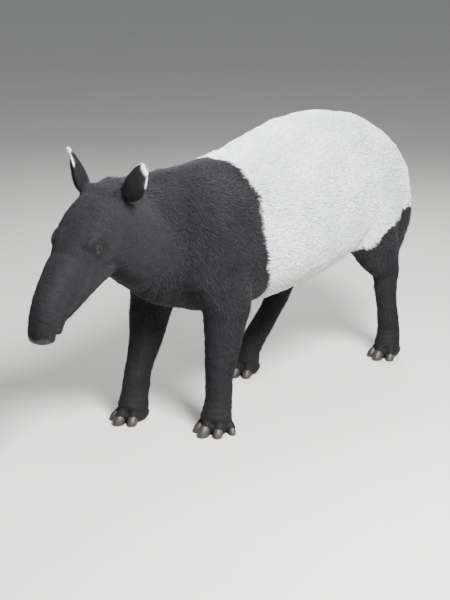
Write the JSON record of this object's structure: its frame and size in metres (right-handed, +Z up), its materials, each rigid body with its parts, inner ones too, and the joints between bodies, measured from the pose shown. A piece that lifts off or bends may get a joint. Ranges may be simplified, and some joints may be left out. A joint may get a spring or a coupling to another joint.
{
  "type": "malayan tapir, life-size model",
  "caption": "Life-size Malayan tapir in mid-stride, head lowered: dark forequarters and legs, white saddle, drooping snout, white-rimmed ears.",
  "frame": {"origin": "on the ground under the middle of the animal's bounding box, at the level of the soles", "axes": "+Z up; the animal faces -Y, its tail is towards +Y, and its left side is +X"},
  "size_m": [0.535, 2.0378, 1.0306],
  "materials": {
    "dark_coat": "short sleek blackish fur over skin",
    "saddle_coat": "short off-white fur of the saddle, over skin",
    "hoof_horn": "dark horn, scuffed",
    "eye": "wet, dark brown"
  },
  "bodies": {
    "root": {"ear_left": "dark_coat", "ear_right": "dark_coat", "eye_left": "eye", "eye_right": "eye", "foot_front_left": "dark_coat", "foot_front_right": "dark_coat", "foot_hind_left": "dark_coat", "foot_hind_right": "dark_coat", "head": "dark_coat", "hoof_front_left_1": "hoof_horn", "hoof_front_left_2": "hoof_horn", "hoof_front_left_3": "hoof_horn", "hoof_front_left_4": "hoof_horn", "hoof_front_right_1": "hoof_horn", "hoof_front_right_2": "hoof_horn", "hoof_front_right_3": "hoof_horn", "hoof_front_right_4": "hoof_horn", "hoof_hind_left_1": "hoof_horn", "hoof_hind_left_2": "hoof_horn", "hoof_hind_left_3": "hoof_horn", "hoof_hind_right_1": "hoof_horn", "hoof_hind_right_2": "hoof_horn", "hoof_hind_right_3": "hoof_horn", "leg_front_left": "dark_coat", "leg_front_right": "dark_coat", "leg_hind_left": "dark_coat", "leg_hind_right": "dark_coat", "neck": "dark_coat", "tail": "saddle_coat", "torso": "saddle_coat"}
  },
  "joints": []
}
